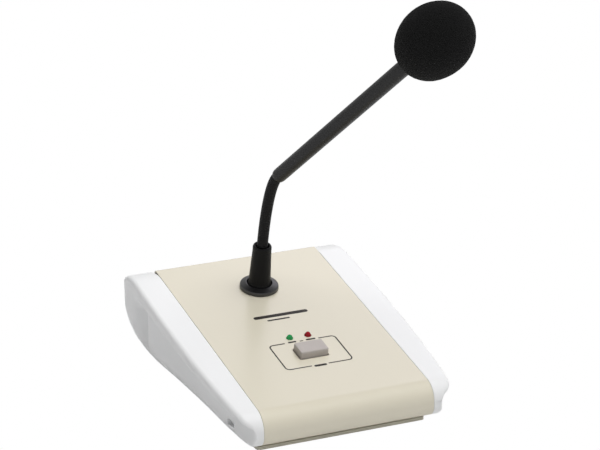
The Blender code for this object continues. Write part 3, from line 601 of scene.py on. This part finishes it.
def scoop_depth(y, z, brim_low, low):
    """How far the thumb scoop goes in at a place on the side wall."""
    along = (y - SCOOP_L) / SCOOP_LEN
    if along < 0.0 or along > 1.0:
        return 0.0
    under = smooth((brim_low - z) / (0.0022 + 0.0090 * along ** 2))
    fade = smooth((z - low - 0.0040) / 0.0110)
    return SCOOP_DEEP * (1.0 - along) ** 1.20 * under * fade


def cap_section(y, past_edge):
    top = cap_top(y)
    low = cap_bottom(y)
    tall = max(top - low, 0.0002)
    edge = read_smooth(BRIM, y)
    wall = min(read_smooth(WALL, y), edge - 0.0002) if y <= WALL[-1][0] else edge - 0.0002
    grow = min(1.0, tall / 0.0200)
    thinner = 0.25 * smooth((0.0300 - y) / 0.0300) + 0.50 * smooth((0.0060 - y) / 0.0140)
    brim = BRIM_H * grow * (1.0 - thinner)
    r = 0.0027 * grow
    lead = min(0.00035, 0.2 * tall)
    points = [(CAP_FACE, top - lead), (CAP_FACE + lead * 0.3, top - lead * 0.3), (CAP_FACE + lead, top)]
    run = edge - r - CAP_FACE - lead
    for k in range(1, 6):
        t = k / 6.0
        points.append((CAP_FACE + lead + run * t, top))
    for k in range(0, 9):
        a = math.radians(90.0 * k / 8)
        points.append((edge - r + r * math.sin(a), top - r + r * math.cos(a)))
    over = edge - wall
    points.append((edge, top - 0.62 * brim))
    for share, fall in ((0.02, 0.72), (0.08, 0.80), (0.20, 0.88), (0.42, 0.945), (0.70, 0.985),
                        (0.90, 1.02)):
        points.append((edge - over * share, top - fall * brim))
    upper = top - brim * 1.09
    points.append((wall, upper))
    reach = read_smooth(HULL, y)
    hull_z = min(reach * grow, 0.55 * tall)
    hull_x = min(reach, wall - CAP_FACE - 0.0006)
    bend = low + hull_z
    for k in range(1, 12):
        points.append((wall, upper + (bend - upper) * k / 12.0))
    for k in range(0, 15):
        a = math.radians(90.0 * k / 14)
        points.append((wall - hull_x * (1.0 - math.cos(a)), low + hull_z * (1.0 - math.sin(a))))
    points.append((CAP_FACE + 0.0002, low))
    points.append((CAP_FACE, low + min(0.0002, 0.2 * tall)))
    if past_edge:
        moved = []
        for x, z in points:
            if z < upper + 1e-6 and x > CAP_FACE + 0.004:
                x = max(x - scoop_depth(y, z, upper, low), min(x, wall - SCOOP_DEEP))
            moved.append((x, z))
        points = moved
    return points


def cap_stations():
    front = -NOSE_R + NOSE_R * math.sin(SLOPE)
    places = [(front + s, False) for s in (0.00003, 0.00012, 0.0003, 0.0006, 0.0010, 0.0015, 0.0021, 0.0028,
                                           0.0036, 0.0045, 0.0055, 0.0066, 0.0078)]
    y = front + 0.0092
    while y < SCOOP_L - 0.0012:
        places.append((y, False))
        y += 0.0030
    places += [(SCOOP_L - 0.0004, False), (SCOOP_L - 0.00005, False), (SCOOP_L + 0.00010, True)]
    y = SCOOP_L + 0.0008
    while y < HEEL_Y - 0.0100:
        places.append((y, y <= SCOOP_L + SCOOP_LEN))
        y += 0.0011
    for k in range(1, 15):
        a = math.radians(90.0 * k / 14)
        here = HEEL_Y - 0.0100 + 0.0100 * math.sin(a)
        places.append((min(here, HEEL_Y - 0.00003), False))
    return places


def make_cap(name, side, node):
    rings = []
    for y, past_edge in cap_stations():
        rings.append([Vector((side * x, BEND_Y + y, z)) for x, z in cap_section(y, past_edge)])
    verts, faces = loft(rings)
    cap = piece(name, verts, faces, "cap_plastic", replaces=(node,), sharp=42.0)
    turn = Matrix.Rotation(side * math.pi / 2, 4, "Y")
    wall = read_smooth(WALL, POCKET_Y)
    spot = Matrix.Translation((side * wall, BEND_Y + POCKET_Y, BEND_Z + POCKET_Z)) @ turn
    ring = [[spot @ p for p in rounded_rect(POCKET_TALL, POCKET_LONG, 0.0008, z)]
            for z in (-POCKET_DEEP, POCKET_DEEP)]
    cut_with(cap, *loft(ring))
    cap.data.shade_smooth()
    cap.data.set_sharp_from_angle(angle=math.radians(42.0))
    flat = cap.modifiers.new("flats", "WEIGHTED_NORMAL")
    flat.keep_sharp = True


# ---------------------------------------------------------------- controls

def make_key():
    at = panel_matrix(SHIFT, KEY_L)
    rings = []
    levels = ((-SHEET - GAP, 0.0, 0.0010), (0.0008, 0.0, 0.0010), (KEY_TOP * 0.5, -0.0001, 0.0010),
              (KEY_TOP - 0.0005, -0.0001, 0.0010), (KEY_TOP - 0.0003, 0.0001, 0.0009),
              (KEY_TOP - 0.00015, 0.0003, 0.0008), (KEY_TOP - 0.00005, 0.0006, 0.0007),
              (KEY_TOP, 0.0010, 0.0006))
    for z, draw, r in levels:
        rings.append([at @ p for p in rounded_rect(KEY_W - draw, KEY_D - draw, r, z, 6)])
    for share, sink in ((0.80, 0.00003), (0.55, 0.00010), (0.30, 0.00015), (0.10, 0.00018)):
        w = (KEY_W - 0.0010) * share
        d = (KEY_D - 0.0010) * share
        rings.append([at @ p for p in rounded_rect(w, d, 0.0009 * share, KEY_TOP - sink, 6)])
    verts, faces = loft(rings)
    piece("key_cap", verts, faces, "key_plastic", body="key", sharp=40.0)
    base = [[at @ p for p in rounded_rect(KEY_W + 0.0030, KEY_D + 0.0030, 0.0013, z, 5)]
            for z in (-0.0024, -SHEET - GAP - 0.0002)]
    verts, faces = loft(base)
    piece("key_skirt", verts, faces, "key_plastic", body="key", replaces=("talk_key",), sharp=40.0)


def make_lamps():
    for colour, x in (("green", -LED_X), ("red", LED_X)):
        at = panel_matrix(x + SHIFT, LED_L - SHIFT)
        profile = [(0.0, -0.0040), (0.0019, -0.0040), (0.0019, -0.0031), (LENS_R, -0.0031),
                   (LENS_R, LENS_SIDE)]
        for k in range(1, 13):
            a = math.radians(7.5 * k)
            profile.append((LENS_R * math.cos(a), LENS_SIDE + LENS_R * math.sin(a)))
        profile[-1] = (0.0, LENS_SIDE + LENS_R)
        verts, faces = lathe(profile, 40, at)
        piece("lamp_" + colour, verts, faces, "lens_" + colour, replaces=("led_" + colour,), sharp=50.0)
        ring = rounded([(LENS_R + 0.0001, -0.0027), (0.0021, -0.0027), (0.0021, 0.0003),
                        (0.0020, 0.0005), (LENS_R + 0.0001, 0.0006)], 0.0001, 3)
        verts, faces = lathe(ring, 40, at)
        piece("lamp_eyelet_" + colour, verts, faces, "lens_" + colour, replaces=("led_bezel_" + colour,),
              sharp=50.0)


# ---------------------------------------------------------------- neck

def make_flange():
    at = panel_matrix(0.0, NECK_L)
    r = FLANGE_R
    flange = [(0.0058, GAP * 0.3), (r - 0.0003, GAP * 0.3), (r, 0.0006), (r - 0.0001, 0.0020),
              (r - 0.0003, 0.0025), (r - 0.0008, 0.0028), (0.0086, 0.0038), (0.0081, 0.0038),
              (0.0079, 0.0036), (0.0079, 0.0018), (0.0058, 0.0018)]
    verts, faces = lathe(rounded(flange, 0.0003, 4), 96, at)
    piece("neck_flange", verts, faces, "neck_black", replaces=("mic_flange",), sharp=60.0)
    foot = 0.0018 + GAP
    top = SLEEVE_TOP
    hole = FLEX_R + GAP
    sleeve = [(0.0026, -0.0130), (0.0046, -0.0130), (0.0050, -0.0126), (0.0050, foot), (0.0074, foot),
              (0.0074, 0.0032), (0.0071, 0.0042), (0.0069, 0.0052), (0.0059, top - 0.0036),
              (0.00575, top - 0.0033), (0.0059, top - 0.0030), (0.0059, top - 0.0010), (0.0054, top),
              (0.0048, top), (hole + 0.0004, top - 0.0006), (hole, top - 0.0030), (hole, 0.0060),
              (0.0026, 0.0060)]
    verts, faces = lathe(rounded(sleeve, 0.0004, 4), 72, at)
    sleeve = piece("neck_sleeve", verts, faces, "neck_black", replaces=("mic_sleeve",), sharp=60.0)
    sleeve.data.materials[0] = SLEEVE_BLACK


def hose_curve():
    base = panel_matrix(0.0, NECK_L)
    start = base @ Vector((0.0, 0.0, SLEEVE_TOP))
    up = (base.to_3x3() @ Vector((0.0, 0.0, 1.0))).normalized()
    side = (AIM - up * AIM.dot(up)).normalized()
    end = start + up * RISE + side * DRIFT
    return (start, start + up * 0.0070, end - AIM * 0.0102, end), up


def hose_table(points):
    """Distance, place and direction at close steps along the hose."""
    a, b, c, d = points
    rows = []
    run = 0.0
    last = a
    steps = 800
    for k in range(steps + 1):
        t = k / steps
        s = 1.0 - t
        here = a * s ** 3 + b * (3 * s * s * t) + c * (3 * s * t * t) + d * t ** 3
        heading = (b - a) * (3 * s * s) + (c - b) * (6 * s * t) + (d - c) * (3 * t * t)
        run += (here - last).length
        rows.append((run, here, heading.normalized()))
        last = here
    return rows


def hose_place(rows, up, distance):
    if distance <= 0.0:
        return rows[0][1] + up * distance, up
    if distance >= rows[-1][0]:
        return rows[-1][1] + AIM * (distance - rows[-1][0]), AIM
    low = 0
    high = len(rows) - 1
    while high - low > 1:
        mid = (low + high) // 2
        if rows[mid][0] <= distance:
            low = mid
        else:
            high = mid
    share = (distance - rows[low][0]) / max(rows[high][0] - rows[low][0], 1e-9)
    place = rows[low][1].lerp(rows[high][1], share)
    return place, rows[low][2].lerp(rows[high][2], share).normalized()


def make_hose():
    points, up = hose_curve()
    rows = hose_table(points)
    total = rows[-1][0]
    binormal = up.cross(AIM).normalized()
    step = RIB_PITCH / 7.0
    sides = 32
    first = -HOSE_INSIDE
    rings = []
    places = []
    count = int((total + 0.0040 - first) / step)
    for i in range(count + 1):
        s = first + i * step
        centre, heading = hose_place(rows, up, s)
        normal = binormal.cross(heading).normalized()
        ring = []
        for k in range(sides):
            a = 2.0 * math.pi * k / sides
            phase = (s / RIB_PITCH - k / sides) % 1.0
            crest = abs(2.0 * phase - 1.0)
            r = FLEX_R + 0.00002 - RIB_DEPTH * (1.0 - crest) ** 1.6
            ring.append(centre + normal * (r * math.cos(a)) + binormal * (r * math.sin(a)))
        rings.append(ring)
        places.append(s)
    joints = [j for j in frame["joints"] if j["type"] == "hinge"]
    spots = [0.0022 + (total - 0.0066) * k / 5 for k in range(5)] + [total - 0.0044]
    ends = [first] + [(a + b) / 2 for a, b in zip(spots, spots[1:])] + [total + 1.0]
    links = ["flex_root"] + ["flex_link_%d" % k for k in range(1, 6)] + ["flex_tip"]
    for n, joint in enumerate(joints):
        i0 = max(i for i, s in enumerate(places) if s <= ends[n] + 1e-9)
        i1 = max(i for i, s in enumerate(places) if s <= ends[n + 1] + 1e-9)
        verts, faces = loft(rings[i0:i1 + 1])
        hose = piece("neck_hose_%d" % (n + 1), verts, faces, "flex_black", body=None,
                     replaces=(links[n], links[n + 1]) if n == 0 else (links[n + 1],), sharp=70.0)
        spot, heading = hose_place(rows, up, spots[n])
        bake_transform(hose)
    return points[3]


# ---------------------------------------------------------------- head

def make_head(end):
    at = frame_along(end, AIM)
    r = TUBE_R
    hole = FLEX_R + GAP
    tube = [(hole, 0.0006), (r - 0.0009, 0.0), (r - 0.0004, 0.0008), (r - 0.00015, 0.0024),
            (r + 0.0001, TUBE_LEN), (r - 0.0010, TUBE_LEN), (r - 0.0010, 0.0130), (hole, 0.0130)]
    verts, faces = lathe(rounded(tube, 0.0009, 5), 64, at)
    piece("boom_tube", verts, faces, "tube_black", body="head", replaces=("tube_ferrule", "mic_tube"),
          sharp=50.0)
    make_foam(at)


def make_foam(at):
    rows = 96
    sides = 144
    mouth = TUBE_R + 0.0005
    rings = []
    first = math.radians(-90.0 + 13.5)
    for i in range(rows + 1):
        a = first + (math.radians(89.0) - first) * i / rows
        ring = []
        for k in range(sides):
            b = 2.0 * math.pi * k / sides
            rr = FOAM_R * math.cos(a)
            zz = HEAD_AT + FOAM_HALF * math.sin(a)
            p = Vector((rr * math.cos(b), rr * math.sin(b), zz))
            lump = noise.noise(p * 60.0) * 0.00022 + noise.noise(p * 900.0) * 0.00010
            out = Vector((math.cos(a) * math.cos(b), math.cos(a) * math.sin(b), math.sin(a)))
            ring.append(p + out * (lump - 0.00012))
        rings.append(ring)
    low = rings[0][0].z
    lip = []
    for rr, zz in ((mouth, low + 0.0040), (mouth, low + 0.0002), (mouth + 0.0004, low - 0.0006),
                   (mouth + 0.0010, low - 0.0007)):
        turns = [2 * math.pi * k / sides for k in range(sides)]
        lip.append([Vector((rr * math.cos(b), rr * math.sin(b), zz)) for b in turns])
    rings = lip + rings
    rings = [[at @ p for p in ring] for ring in rings]
    verts, faces = loft(rings)
    foam = piece("foam_ball", verts, faces, "foam_black", body="head", replaces=("foam_windscreen",),
                 sharp=0)


# ---------------------------------------------------------------- the rest of the CAD nodes

def finish_nodes():
    for part in frame["record"]["subparts"]:
        node = NODES[part["node"]]
        wear(node, part["material_slot"])
        if part["node"] in ("bottom_plate", "front_foot_strip", "rear_foot_strip", "cord_inlet"):
            soften(node, 0.0002, 2, 40.0)


# ---------------------------------------------------------------- studio

def make_studio():
    scene = bpy.context.scene
    scene.view_settings.view_transform = "Standard"
    world = bpy.data.worlds.new("studio")
    world.use_nodes = True
    sky = world.node_tree
    sky.nodes["Background"].inputs["Color"].default_value = (1.0, 1.0, 1.0, 1.0)
    height = sky.nodes.new("ShaderNodeSeparateXYZ")
    sky.links.new(sky.nodes.new("ShaderNodeTexCoord").outputs["Generated"], height.inputs["Vector"])
    walls = sky.nodes.new("ShaderNodeMapRange")
    walls.interpolation_type = "SMOOTHSTEP"
    for socket, value in (("From Min", 0.70), ("From Max", 0.95), ("To Min", 0.62), ("To Max", 0.0)):
        walls.inputs[socket].default_value = value
    sky.links.new(height.outputs["Z"], walls.inputs["Value"])
    by_ray = sky.nodes.new("ShaderNodeMix")
    front = sky.nodes.new("ShaderNodeMapRange")
    for socket, value in (("From Min", -1.0), ("From Max", 1.0), ("To Min", 0.36), ("To Max", 0.03)):
        front.inputs[socket].default_value = value
    sky.links.new(height.outputs["Y"], front.inputs["Value"])
    sky.links.new(front.outputs["Result"], by_ray.inputs["A"])
    sky.links.new(sky.nodes.new("ShaderNodeLightPath").outputs["Is Glossy Ray"], by_ray.inputs["Factor"])
    sky.links.new(walls.outputs["Result"], by_ray.inputs["B"])
    sky.links.new(by_ray.outputs["Result"], sky.nodes["Background"].inputs["Strength"])
    scene.world = world
    light = bpy.data.lights.new("soft_key", "SUN")
    light.energy = 2.80
    light.angle = math.radians(52.0)
    sun = bpy.data.objects.new("soft_key", light)
    scene.collection.objects.link(sun)
    sun.visible_glossy = False
    sun.rotation_euler = Vector((-0.22, 0.12, -1.0)).to_track_quat("-Z", "Y").to_euler()
    mesh = bpy.data.meshes.new("floor")
    corners = [(x * FLOOR_HALF, y * FLOOR_HALF, 0) for x, y in ((-1, -1), (1, -1), (1, 1), (-1, 1))]
    mesh.from_pydata(corners, [], [(0, 1, 2, 3)])
    floor = bpy.data.objects.new("floor", mesh)
    scene.collection.objects.link(floor)
    mat = surface("pale_floor", (0.72, 0.72, 0.72), 0.9, vary=0.0)
    shader = mat.node_tree.nodes["Principled BSDF"]
    shader.inputs["Emission Color"].default_value = (1.0, 1.0, 1.0, 1.0)
    shader.inputs["Emission Strength"].default_value = 0.10
    tree = mat.node_tree
    paper = tree.nodes.new("ShaderNodeEmission")
    paper.inputs["Strength"].default_value = 1.0
    seen = tree.nodes.new("ShaderNodeMixShader")
    out = tree.nodes["Material Output"]
    tree.links.new(tree.nodes.new("ShaderNodeLightPath").outputs["Is Camera Ray"], seen.inputs["Fac"])
    tree.links.new(shader.outputs["BSDF"], seen.inputs[1])
    tree.links.new(paper.outputs["Emission"], seen.inputs[2])
    tree.links.new(seen.outputs["Shader"], out.inputs["Surface"])
    mesh.materials.append(mat)


def add_box_light():
    """A soft box behind and to the right, whose reflection lies along the top panel."""
    light = bpy.data.lights.new("back_box", "AREA")
    light.shape = "RECTANGLE"
    light.size = 0.60
    light.size_y = 0.45
    light.energy = 0.9
    light.color = (0.92, 0.86, 1.0)
    ob = bpy.data.objects.new("back_box", light)
    bpy.context.scene.collection.objects.link(ob)
    ob.visible_diffuse = False
    ob.location = (0.58, 0.80, 0.66)
    ob.rotation_euler = (Vector((0.03, 0.05, 0.05)) - ob.location).to_track_quat("-Z", "Y").to_euler()


def make_camera():
    data = bpy.data.cameras.new("camera")
    data.lens = 149.12
    data.sensor_width = 36.0
    data.clip_start = 0.05
    camera = bpy.data.objects.new("camera", data)
    bpy.context.scene.collection.objects.link(camera)
    camera.location = (-0.5714, -1.2237, 0.6034)
    camera.rotation_euler = (math.radians(90.0 - 19.354), 0.0, math.radians(-24.23))
    bpy.context.scene.camera = camera


make_camera()
finish_nodes()
make_cover()
make_prints()
make_cap("cap_left", -1, "left_end_cap")
make_cap("cap_right", 1, "right_end_cap")
make_key()
make_lamps()
make_flange()
make_head(make_hose())
make_studio()
add_box_light()
